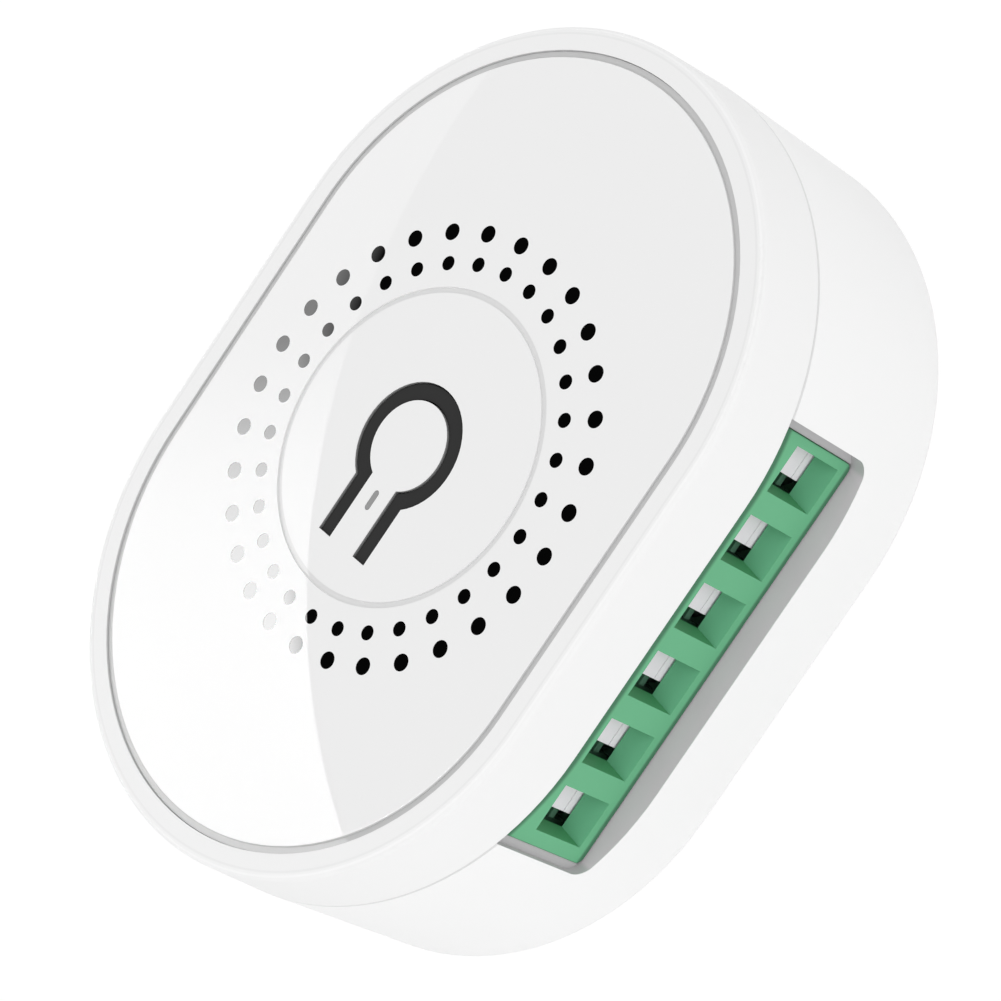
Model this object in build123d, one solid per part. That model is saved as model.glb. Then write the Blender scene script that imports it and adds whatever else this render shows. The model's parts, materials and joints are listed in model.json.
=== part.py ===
from build123d import *
import math
import os

# Smart switch module: a stadium shaped box for a wall box, with a press button and six screw terminals.
# The rear face lies on Z = 0, the front faces +Z, the terminals face +X and the long axis runs along Y.
# Sizes are in millimetres.

# Outline of the box
body_width = 40.8
body_straight = 18.1
shell_wall = 1.8
rear_edge_radius = 0.35
seam_chamfer = 0.12

# Stack from the rear face to the front face
floor_thickness = 1.8
tail_room = 1.2
relay_height = 11.0
board_thickness = 1.6
front_room = 3.4
plate_thickness = 1.2
board_bottom = floor_thickness + tail_room + relay_height
board_top = board_bottom + board_thickness
plate_bottom = board_top + front_room
body_depth = plate_bottom + plate_thickness

# Front cover, with the rim round the plate and the shelf that carries it
cover_depth = 5.7
cover_draft = 0.3
rim_width = 1.96
rim_edge_radius = 0.45
shelf_thickness = 1.2
shelf_reach = 3.16
lip_thickness = 0.8
lip_height = 1.5
lip_clearance = 0.1
seam_height = body_depth - cover_depth
shelf_bottom = plate_bottom - shelf_thickness
lip_inset = shell_wall - lip_thickness

# Snap arms of the front cover, and their pockets in the rear housing
arm_width = 5.0
arm_thickness = 1.0
arm_gap = 0.15
arm_reach = 4.4
arm_place_y = 5.0
hook_depth = 0.6
hook_height = 1.0
hook_clearance = 0.15

# Front plate
groove_width = 0.45
plate_flange = 1.0
flange_clearance = 0.03
plate_edge_radius = 0.12
peg_radius = 0.8
peg_clearance = 0.05
peg_tip = 0.4
peg_angle = 60.0
ring_radius = 10.35
ring_width = 0.4
ring_depth = 0.15

# Vent holes in two rings, the inner one slightly longer along Y
vent_count = 30
outer_vent_ring = 14.25
outer_vent_radius = 0.57
inner_vent_ring_x = 11.78
inner_vent_ring_y = 12.24
inner_vent_radius = 0.49

# Button tongue in its keyhole slot
button_radius = 3.0
neck_half_width = 1.26
slot_width = 1.22
hinge_reach = 7.6
hinge_thickness = 0.6
hinge_length = 1.2
post_radius = 0.6
post_length = 0.8
button_angle = 3.0

# Light pipe in the neck
pipe_place_y = -4.1
pipe_width = 0.45
pipe_length = 1.42
pipe_clearance = 0.02
pipe_flange_margin = 0.35
pipe_flange_thickness = 0.5
pipe_led_gap = 0.5

# Insulating boot behind the button, with a rib that fills the keyhole slot
guard_wall = 0.8
guard_floor = 0.5
guard_depth = 1.3
guard_clearance = 0.1
guard_rib_recess = 0.15
guard_hole_radius = 1.5
guard_slot_margin = 0.3

# Press switch on the board, and the status light
tact_size = 4.5
tact_base_height = 1.5
tact_cover_thickness = 0.2
tact_cavity_radius = 1.8
tact_cavity_depth = 0.9
plunger_radius = 1.1
plunger_clearance = 0.08
plunger_flange_radius = 1.6
plunger_flange_thickness = 0.3
plunger_play = 0.15
post_gap = 0.2
post_edge_gap = 0.05
dome_radius = 1.5
dome_thickness = 0.1
led_size = (0.8, 1.6, 0.6)

# Board and its screws
board_clearance = 0.4
board_notch_clearance = 0.3
boss_inset = 5.2
boss_angle = 41.0
boss_radius = 2.0
screw_radius = 0.88
screw_pilot_clearance = 0.02
screw_board_clearance = 0.2
screw_head_radius = 1.6
screw_head_height = 1.2
screw_grip = 1.8
cross_length = 1.9
cross_width = 0.5
cross_depth = 0.6

# Terminal block
pole_count = 6
pole_pitch = 5.0
terminal_offset = -0.4
face_recess = 1.8
block_reach = 10.0
nose_reach = 1.5
nose_top_gap = 0.1
block_floor_gap = 0.4
block_rear_wall = 1.25
chamber_half_width = 2.0
chamber_back_wall = 2.4
block_end_shift = 0.18
mouth_half_width = 1.65
mouth_rear_margin = 0.75
mouth_front_margin = 0.6
entry_half_width = 1.45
entry_height = 3.3
nose_rear_margin = 1.03
window_rear_gap = 0.05
window_end_gap = 0.6
window_corner_radius = 1.0
sill_gap = 0.15
nose_corner_radius = 0.5
nose_edge_radius = 0.1
cheek_gap = 0.04
cheek_width = 2.0
cheek_reach = 1.7
cheek_recess = 0.2

# Rising clamp of each pole: screw, cage and contact strip
seat_gap = 0.05
clamp_screw_radius = 1.2
clamp_head_radius = 1.8
clamp_head_height = 1.0
driver_slot_width = 0.6
driver_slot_depth = 0.5
access_radius = 1.6
housing_access_radius = 1.9
thread_pitch = 0.45
cage_travel = 2.0
cage_width = 3.5
cage_length = 3.0
cage_wall = 0.45
cage_thread_wall = 1.1
cage_jaw_thickness = 0.7
cage_set_back = 2.9
tongue_low_side = -0.35
tongue_high_side = 1.7
tongue_set_back = 1.65
jaw_tongue_height = 1.3
strip_thickness = 0.5
strip_clearance = 0.1
strip_nose_length = 0.75
strip_nose_height = 1.15
tail_width = 1.0
tail_thickness = 0.8
tail_length = 1.0
tail_clearance = 0.1

# Relays, side by side behind the terminal block
relay_width = 10.0
relay_length = 18.2
relay_gap = 0.8
relay_block_gap = 0.8
relay_case_wall = 0.5
relay_case_standoff = 0.6
relay_base_thickness = 2.0
relay_fit = 0.05
relay_pin_zone = 1.3
relay_pin_radius = 0.35
relay_pin_inner = 0.5
iron_thickness = 0.8
iron_pin_gap = 0.4
core_radius = 1.5
pole_radius = 2.0
pole_thickness = 0.5
bobbin_flange = 0.5
bobbin_wall = 0.3
winding_radius = 2.9
coil_gap = 0.1
armature_gap = 0.4
armature_half_width = 3.0
armature_height = 7.0
armature_top_gap = 0.2
armature_end_room = 1.0
blade_half_width = 1.0
blade_thickness = 0.2
blade_overlap = 4.2
blade_floor_gap = 0.25
rivet_radius = 0.4
rivet_height = 0.4
moving_rivet_height = 0.2
fixed_strip_thickness = 0.3
fixed_riser_width = 0.9

# Mains supply and the other parts on the rear side of the board
transformer_gap = 0.7
transformer_y = 10.5
core_width = 10.4
core_depth = 5.2
core_height = 8.4
core_leg = 1.5
centre_leg_radius = 1.5
transformer_standoff = 0.8
coil_former_wall = 0.5
coil_former_flange = 0.6
coil_former_half_depth = 5.2
transformer_coil_clearance = 0.3
rail_width = 2.2
bulk_capacitor_y = -7.5
bulk_capacitor_radius = 4.0
bulk_capacitor_length = 12.0
bulk_capacitor_gap = 0.7
bulk_capacitor_lift = 0.3
can_edge_radius = 0.3
bead_depth = 0.3
relay_end_gap = 0.3
output_capacitor_x = -5.4
output_capacitor_radius = 2.5
output_capacitor_length = 8.0
film_capacitor_x = -3.4
film_capacitor_size = (7.2, 5.0, 7.5)
film_capacitor_edge_radius = 0.4
film_capacitor_lead_reach = 2.5
varistor_x = 4.3
varistor_radius = 3.7
varistor_thickness = 3.4
varistor_lift = 0.6
varistor_lead_reach = 2.4
varistor_edge_radius = 0.8
fuse_x = 3.4
fuse_radius = 1.6
fuse_length = 8.0
fuse_lift = 0.5
fuse_end_radius = 0.8
bridge_y = 1.9
bridge_size = (3.9, 4.7, 2.4)
foot_size = (0.6, 1.2, 0.8)
foot_gap = 0.2
lead_radius = 0.3
lead_clearance = 0.15
lead_bend = 1.2

# Parts on the front side of the board
radio_edge_gap = 1.7
radio_y = -5.5
radio_size = (10.0, 15.0, 0.8)
shield_size = (8.0, 9.0, 1.2)
shield_wall = 0.2
shield_shift = 2.4
antenna_shift = -6.0
antenna_thickness = 0.1
antenna_track = 0.4
antenna_turns = 6
antenna_height = 1.8
opto_size = (4.6, 4.4, 2.0)
opto_shift = 0.9
opto_rows = (8.2, 14.0)

# Small soldered parts: place from the relays' middle line or from the transformer, then size
relay_surface_parts = (
    (-0.2, -12.6, 3.0, 1.7, 1.1),
    (2.0, -9.2, 1.6, 3.2, 0.6),
    (-0.4, -9.4, 1.6, 3.2, 0.6),
    (0.0, -15.6, 4.0, 3.0, 1.5),
    (-1.2, -18.4, 2.0, 1.25, 0.8),
    (1.8, -18.4, 2.0, 1.25, 0.8),
    (1.0, 4.2, 3.2, 1.6, 0.6),
)
supply_surface_parts = (
    (-1.4, -1.5, 1.6, 3.2, 0.6),
    (1.4, -1.5, 1.6, 3.2, 0.6),
    (0.0, 2.4, 4.0, 2.4, 1.2),
)

# Places that follow from the sizes above
half_width = body_width / 2
half_length = (body_straight + body_width) / 2
plate_inset = rim_width + groove_width
flange_inset = rim_width + flange_clearance
shelf_inset = rim_width + shelf_reach
peg_inset = rim_width + shelf_reach / 2
face_x = half_width - face_recess
block_back = face_x - block_reach
block_shoulder = face_x - nose_reach
block_half_length = pole_count * pole_pitch / 2
block_middle = terminal_offset - block_end_shift
block_ends = (block_middle - block_half_length, block_middle + block_half_length)
cheek_back = face_x - cheek_recess - cheek_reach
cheek_ends = (block_ends[0] - cheek_gap - cheek_width, block_ends[1] + cheek_gap + cheek_width)
block_bottom = floor_thickness + block_floor_gap
chamber_floor = block_bottom + block_rear_wall
head_low = chamber_floor + seat_gap
head_high = head_low + clamp_head_height
cage_low = head_high + seat_gap
screw_tip = cage_low + cage_thread_wall + cage_travel
strip_low = screw_tip + seat_gap
strip_high = strip_low + strip_thickness
jaw_low = strip_high + seat_gap
cage_high = jaw_low + cage_jaw_thickness
entry_low = strip_low - seat_gap
entry_high = entry_low + entry_height
mouth_low = entry_low - mouth_rear_margin
mouth_high = entry_high + mouth_front_margin
nose_low = mouth_low - nose_rear_margin
window_low = nose_low - window_rear_gap
screw_x = face_x - cage_set_back - cage_length / 2
chamber_back = block_back + chamber_back_wall
tail_x = chamber_back + tail_thickness / 2
relay_x = block_back - relay_block_gap - relay_width / 2
relay_y = -(relay_length + relay_gap) / 2
relay_left = relay_x - relay_width / 2
relay_end = relay_length + relay_gap / 2
relay_pin_reach = relay_width / 2 - relay_case_wall - relay_fit - relay_pin_inner
iron_half_width = relay_pin_reach - relay_pin_radius - iron_pin_gap
bobbin_length = (relay_length - 2 * relay_case_wall - relay_pin_zone - 2 * iron_thickness - 2 * coil_gap
                 - pole_thickness - armature_gap - blade_thickness - armature_end_room)
transformer_x = relay_left - transformer_gap - core_width / 2
transformer_coil_radius = core_width / 2 - core_leg - transformer_coil_clearance
bulk_capacitor_place = (relay_left - bulk_capacitor_gap - bulk_capacitor_radius, bulk_capacitor_y)
bridge_place = (bulk_capacitor_place[0], bridge_y)
output_capacitor_place = (output_capacitor_x, -relay_end - relay_end_gap - output_capacitor_radius)
film_capacitor_place = (film_capacitor_x, relay_end + relay_end_gap + film_capacitor_size[1] / 2)
varistor_place = (varistor_x, relay_end + relay_end_gap + varistor_thickness / 2)
fuse_place = (fuse_x, -relay_end - relay_end_gap - fuse_radius)
radio_place = (shell_wall + board_clearance + radio_edge_gap + radio_size[0] / 2 - half_width, radio_y)
post_low = plate_bottom - post_length
plunger_top = post_low - post_gap
plunger_stroke = math.radians(button_angle) * hinge_reach - post_gap + post_edge_gap
lead_tip = board_top + tail_length
pole_places = [terminal_offset + pole_pitch * (i - (pole_count - 1) / 2) for i in range(pole_count)]


def stadium(inset, low, high, draft=0):
    """Solid on the body's outline drawn in by inset, and drawn in by draft more at its high end."""
    outline = SlotCenterToCenter(body_straight, body_width - 2 * inset, rotation=90)
    taper = math.degrees(math.atan2(draft, high - low))
    return extrude(Pos(0, 0, low) * outline, high - low, taper=taper)


def stadium_ring(outer_inset, inner_inset, low, high):
    """Wall between two insets of the body's outline."""
    return stadium(outer_inset, low, high) - stadium(inner_inset, low, high)


def block(x, y, z):
    """Box between pairs of low and high values."""
    sizes = [pair[1] - pair[0] for pair in (x, y, z)]
    middles = [(pair[0] + pair[1]) / 2 for pair in (x, y, z)]
    return Pos(*middles) * Box(*sizes)


def centred(place, size, low):
    """Box of a given size that stands on height low round a place in plan."""
    return Pos(place[0], place[1], low + size[2] / 2) * Box(*size)


def rod(place, radius, low, high):
    """Upright cylinder round a place in plan."""
    return Pos(place[0], place[1], (low + high) / 2) * Cylinder(radius, high - low)


def rod_along_y(x, z, radius, start, end):
    """Cylinder that lies along Y."""
    return Pos(x, (start + end) / 2, z) * Rot(90, 0, 0) * Cylinder(radius, end - start)


def rod_along_x(y, z, radius, start, end):
    """Cylinder that lies along X."""
    return Pos((start + end) / 2, y, z) * Rot(0, 90, 0) * Cylinder(radius, end - start)


def flat_edges(shape, height):
    """Edges that lie at one height all along."""
    return shape.edges().filter_by(
        lambda edge: abs(edge.center().Z - height) < 1e-4 and edge.bounding_box().size.Z < 1e-4)


def arm_boxes(margin, low, high):
    """Boxes round the snap arms: two on the long side away from the terminals and one on each end."""
    side = arm_width / 2 + margin
    reach = shell_wall + arm_gap + arm_thickness + margin
    boxes = [block((-half_width, reach - half_width), (y - side, y + side), (low, high))
             for y in (-arm_place_y, arm_place_y)]
    boxes.append(block((-side, side), (half_length - reach, half_length), (low, high)))
    boxes.append(block((-side, side), (-half_length, reach - half_length), (low, high)))
    return boxes


def joined(solids):
    """Solids fused to one."""
    whole = solids[0]
    for solid in solids[1:]:
        whole += solid
    return whole


def round_end_places(inset, angle_deg):
    """Four places in plan, each at one angle on the body's round ends and drawn in by inset."""
    radius = half_width - inset
    x = radius * math.cos(math.radians(angle_deg))
    y = body_straight / 2 + radius * math.sin(math.radians(angle_deg))
    return [(side * x, end * y) for side in (-1, 1) for end in (-1, 1)]


def peg_places():
    """Places in plan of the plate's pegs, on the middle of the shelf."""
    radius = half_width - peg_inset
    return [(-radius, 0), (radius, 0)] + round_end_places(peg_inset, peg_angle)


def window():
    """Terminal window through the side wall, open towards the seam, with round rear corners."""
    opening = block((block_shoulder, half_width + shell_wall),
                    (block_ends[0] - window_end_gap, block_ends[1] + window_end_gap),
                    (window_low, seam_height + shell_wall))
    corners = opening.edges().filter_by(Axis.X).group_by(Axis.Z)[0]
    return fillet(corners, window_corner_radius)


def make_rear_housing():
    """Deep shell with the terminal window, its sill and cheeks, screw access holes and snap pockets."""
    shell = stadium(0, 0, seam_height)
    shell = fillet(flat_edges(shell, 0), rear_edge_radius)
    shell = chamfer(flat_edges(shell, seam_height), seam_chamfer)
    shell -= stadium(shell_wall, floor_thickness, seam_height)
    shell -= stadium(lip_inset - lip_clearance, seam_height - lip_height - lip_clearance, seam_height)
    shell -= window()
    hook_low = seam_height - arm_reach
    pocket = stadium_ring(shell_wall - hook_depth, shell_wall, hook_low - hook_clearance,
                          hook_low + hook_height + hook_clearance)
    for box in arm_boxes(hook_clearance, 0, seam_height):
        shell -= pocket & box
    upper_cheek = (block_ends[1] + cheek_gap, cheek_ends[1])
    lower_cheek = (cheek_ends[0], block_ends[0] - cheek_gap)
    for near, far in (upper_cheek, lower_cheek):
        cheek = block((cheek_back, face_x - cheek_recess), (near, far), (floor_thickness, seam_height))
        shell += cheek & stadium(0, floor_thickness, seam_height)
    sill = block((block_shoulder + sill_gap, half_width), cheek_ends,
                 (floor_thickness, window_low + window_corner_radius))
    shell += (sill & stadium(shell_wall / 2, floor_thickness, seam_height)) - window()
    for y in pole_places:
        shell -= rod((screw_x, y), housing_access_radius, 0, floor_thickness)
    return shell


def make_front_cover():
    """Shallow shell with the rim, the plate's shelf, the lip, the snap arms and the board's bosses."""
    cover = stadium(0, seam_height, body_depth, cover_draft)
    cover = fillet(flat_edges(cover, body_depth), rim_edge_radius)
    cover = chamfer(flat_edges(cover, seam_height), seam_chamfer)
    cover -= stadium(shell_wall, seam_height, shelf_bottom)
    cover -= stadium(rim_width, plate_bottom, body_depth)
    cover -= stadium(shelf_inset, shelf_bottom, plate_bottom)
    lip = stadium_ring(lip_inset, shell_wall, seam_height - lip_height, seam_height)
    cover += lip - block((cheek_back - lip_clearance, half_width),
                         (cheek_ends[0] - lip_clearance, cheek_ends[1] + lip_clearance),
                         (seam_height - lip_height, seam_height))
    arm_inset = shell_wall + arm_gap
    arm_low = seam_height - arm_reach
    arm = stadium_ring(arm_inset, arm_inset + arm_thickness, arm_low, shelf_bottom)
    hook = stadium_ring(arm_inset - hook_depth, arm_inset, arm_low, arm_low + hook_height)
    for box in arm_boxes(0, arm_low, shelf_bottom):
        cover += (arm & box) + (hook & box)
    for place in round_end_places(boss_inset, boss_angle):
        cover += rod(place, boss_radius, board_top, plate_bottom)
        cover -= rod(place, screw_radius + screw_pilot_clearance, board_top, shelf_bottom)
    for place in peg_places():
        cover -= rod(place, peg_radius + peg_clearance, shelf_bottom, plate_bottom)
    return cover


def vent_holes():
    """Round holes of both rings, spaced so that the long axis passes midway between two of them."""
    holes = []
    for i in range(vent_count):
        angle = 2 * math.pi * i / vent_count
        for reach_x, reach_y, radius in ((outer_vent_ring, outer_vent_ring, outer_vent_radius),
                                         (inner_vent_ring_x, inner_vent_ring_y, inner_vent_radius)):
            place = (reach_x * math.cos(angle), reach_y * math.sin(angle))
            holes.append(rod(place, radius, plate_bottom, body_depth))
    return holes


def keyhole(margin, low, high):
    """Round button with its straight neck down to the hinge, grown by margin."""
    neck = neck_half_width + margin
    return (rod((0, 0), button_radius + margin, low, high)
            + block((-neck, neck), (-hinge_reach, 0), (low, high)))


def make_face_plate():
    """Stadium plate with two vent rings, a faint ring, a keyhole slot and pegs behind."""
    plate = stadium(plate_inset, plate_bottom, body_depth)
    plate = fillet(flat_edges(plate, body_depth), plate_edge_radius)
    plate += stadium(flange_inset, plate_bottom, plate_bottom + plate_flange)
    plate -= keyhole(slot_width, plate_bottom, body_depth)
    ring = (rod((0, 0), ring_radius + ring_width / 2, body_depth - ring_depth, body_depth)
            - rod((0, 0), ring_radius - ring_width / 2, body_depth - ring_depth, body_depth))
    plate -= ring
    plate -= vent_holes()
    for place in peg_places():
        plate += rod(place, peg_radius, shelf_bottom - peg_tip, plate_bottom)
    return plate


def light_pipe_prism(margin, low, high):
    """Upright prism with the light slot's round ended outline, grown by margin."""
    width = pipe_width + 2 * margin
    outline = SlotOverall(pipe_length + 2 * margin, width, rotation=90)
    return extrude(Pos(0, pipe_place_y, low) * outline, high - low)


def make_button_tongue():
    """Press button on its neck, thinned at the root where it bends, with the post behind."""
    tongue = keyhole(0, plate_bottom, body_depth)
    tongue -= block((-neck_half_width, neck_half_width), (-hinge_reach, hinge_length - hinge_reach),
                    (plate_bottom, body_depth - hinge_thickness))
    tongue -= light_pipe_prism(0, plate_bottom, body_depth)
    return tongue + rod((0, 0), post_radius, post_low, plate_bottom)


def make_light_pipe():
    """Clear bar in the neck's slot, with a flange behind the neck and a stem towards the light."""
    led_top = board_top + led_size[2]
    stem = light_pipe_prism(-pipe_clearance, led_top + pipe_led_gap, body_depth)
    return stem + light_pipe_prism(pipe_flange_margin, plate_bottom - pipe_flange_thickness, plate_bottom)


def make_button_guard():
    """Keyhole shaped boot behind the button, with a rib in the slot and holes for post and light pipe."""
    low = plate_bottom - guard_depth
    rib_top = body_depth - guard_rib_recess
    boot = keyhole(slot_width + guard_wall, low, plate_bottom)
    boot += keyhole(slot_width - guard_clearance, plate_bottom, rib_top)
    boot -= keyhole(guard_clearance, low + guard_floor, rib_top)
    boot -= rod((0, 0), guard_hole_radius, low, low + guard_floor)
    return boot - light_pipe_prism(pipe_flange_margin + guard_slot_margin, low, low + guard_floor)


def make_press_switch():
    """Base, metal cover, snap dome and plunger of the press switch under the button."""
    base_top = board_top + tact_base_height
    cavity_low = base_top - tact_cavity_depth
    size = (tact_size, tact_size, tact_base_height)
    base = centred((0, 0), size, board_top) - rod((0, 0), tact_cavity_radius, cavity_low, base_top)
    cover_size = (tact_size, tact_size, tact_cover_thickness)
    cover = centred((0, 0), cover_size, base_top)
    cover -= rod((0, 0), plunger_radius + plunger_clearance, base_top, base_top + tact_cover_thickness)
    dome = rod((0, 0), dome_radius, cavity_low, cavity_low + dome_thickness)
    flange_top = base_top - plunger_play
    plunger = (rod((0, 0), plunger_radius, flange_top, plunger_top)
               + rod((0, 0), plunger_flange_radius, flange_top - plunger_flange_thickness, flange_top))
    return {"tact_base": base, "tact_cover": cover, "tact_dome": dome, "tact_plunger": plunger}


def make_main_board(round_leads):
    """Circuit board with notches for snap arms and terminals, and holes for screws, tails and leads."""
    board = stadium(shell_wall + board_clearance, board_bottom, board_top)
    cutters = arm_boxes(board_notch_clearance, board_bottom, board_top)
    cutters.append(block((cheek_back - board_notch_clearance, half_width),
                         (cheek_ends[0] - board_notch_clearance, cheek_ends[1] + board_notch_clearance),
                         (board_bottom, board_top)))
    cutters += [rod(place, screw_radius + screw_board_clearance, board_bottom, board_top)
                for place in round_end_places(boss_inset, boss_angle)]
    cutters += [rod(place, radius + lead_clearance, board_bottom, board_top)
                for place, radius in round_leads]
    tail_hole = (tail_thickness + 2 * tail_clearance, tail_width + 2 * tail_clearance, board_thickness)
    cutters += [centred((tail_x, y), tail_hole, board_bottom) for y in pole_places]
    riser_hole = fixed_riser(tail_clearance, board_bottom, board_top)
    cutters += [riser_hole, mirror(riser_hole, about=Plane.XZ)]
    return board - cutters


def make_board_screws():
    """Four self tapping screws with crossed recesses, heads towards the rear."""
    screws = []
    head_low = board_bottom - screw_head_height
    for place in round_end_places(boss_inset, boss_angle):
        screw = rod(place, screw_head_radius, head_low, board_bottom)
        screw += rod(place, screw_radius, board_bottom, board_top + screw_grip)
        for size in ((cross_length, cross_width, cross_depth), (cross_width, cross_length, cross_depth)):
            screw -= centred(place, size, head_low)
        screws.append(screw)
    return Compound(screws)


def make_terminal_housing():
    """Green block with a funnel, a clamp chamber and a screwdriver hole at each pole."""
    body = block((block_back, block_shoulder), block_ends, (block_bottom, board_bottom))
    nose = block((block_shoulder, face_x), block_ends, (nose_low, seam_height - nose_top_gap))
    nose = fillet(nose.edges().filter_by(Axis.X).group_by(Axis.Z)[0], nose_corner_radius)
    body += fillet(nose.faces().sort_by(Axis.X)[-1].edges(), nose_edge_radius)
    for y in pole_places:
        body -= block((chamber_back, block_shoulder), (y - chamber_half_width, y + chamber_half_width),
                      (chamber_floor, board_bottom))
        mouth = Plane((face_x, y, (mouth_low + mouth_high) / 2), x_dir=(0, 1, 0), z_dir=(1, 0, 0))
        entry_y = y + mouth_half_width - entry_half_width
        entry = Plane((block_shoulder, entry_y, (entry_low + entry_high) / 2),
                      x_dir=(0, 1, 0), z_dir=(1, 0, 0))
        body -= loft([entry * Rectangle(2 * entry_half_width, entry_height),
                      mouth * Rectangle(2 * mouth_half_width, mouth_high - mouth_low)])
        body -= rod((screw_x, y), access_radius, block_bottom, chamber_floor)
    return body


def make_clamp_cage(y):
    """Box shaped cage round the contact strip, with a threaded wall behind and a jaw in front."""
    outer_x = (screw_x - cage_length / 2, screw_x + cage_length / 2)
    outer_y = (y - cage_width / 2, y + cage_width / 2)
    cage = block(outer_x, outer_y, (cage_low, cage_high))
    inner_y = (outer_y[0] + cage_wall, outer_y[1] - cage_wall)
    cage -= block(outer_x, inner_y, (cage_low + cage_thread_wall, jaw_low))
    cage += block((outer_x[1], face_x - tongue_set_back), (y + tongue_low_side, y + tongue_high_side),
                  (jaw_low, jaw_low + jaw_tongue_height))
    return cage - rod((screw_x, y), clamp_screw_radius + seat_gap, cage_low, cage_low + cage_thread_wall)


def make_clamp_screw(y):
    """Slotted screw whose head rests on the block's rear wall and whose tip meets the strip."""
    screw = rod((screw_x, y), clamp_head_radius, head_low, head_high)
    screw += rod((screw_x, y), clamp_screw_radius, head_high, screw_tip)
    slot = (driver_slot_width, 2 * clamp_head_radius, driver_slot_depth)
    return screw - centred((screw_x, y), slot, head_low)


def make_terminal_contacts():
    """Contact strips, each with a turned down nose in front and a solder tail behind."""
    strips = []
    strip_half = cage_width / 2 - cage_wall - strip_clearance
    nose_x = (face_x - tongue_set_back - strip_nose_length, face_x - tongue_set_back)
    for y in pole_places:
        strip = block((chamber_back, nose_x[0]), (y - strip_half, y + strip_half), (strip_low, strip_high))
        strip += block(nose_x, (y + tongue_low_side, y + tongue_high_side),
                       (strip_high - strip_nose_height, strip_high))
        strip += centred((tail_x, y), (tail_thickness, tail_width, lead_tip - strip_low), strip_low)
        strips.append(strip)
    return Compound(strips)


def relay_stations():
    """Places along Y of the first relay's yoke, coil former, pole face and armature."""
    yoke_back = relay_y - relay_length / 2 + relay_case_wall + relay_pin_zone
    bobbin_start = yoke_back + iron_thickness + coil_gap
    pole_start = bobbin_start + bobbin_length + coil_gap
    armature_start = pole_start + pole_thickness + armature_gap
    return yoke_back, bobbin_start, pole_start, armature_start


def fixed_riser(margin, low, high):
    """Flat pin of the first relay's fixed contact, grown by margin."""
    right = relay_x + relay_pin_reach
    front = relay_stations()[2] + pole_thickness
    return block((right - fixed_strip_thickness - margin, right + margin),
                 (front - fixed_riser_width - margin, front + margin), (low, high))


def relay_pin_places():
    """Places in plan of the first relay's round pins: two for the coil and one for the moving contact."""
    left, right = relay_x - relay_pin_reach, relay_x + relay_pin_reach
    coil_y = relay_y - relay_length / 2 + relay_case_wall + relay_pin_zone / 2
    return [(left, coil_y), (right, coil_y), (left, relay_y)]


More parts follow.
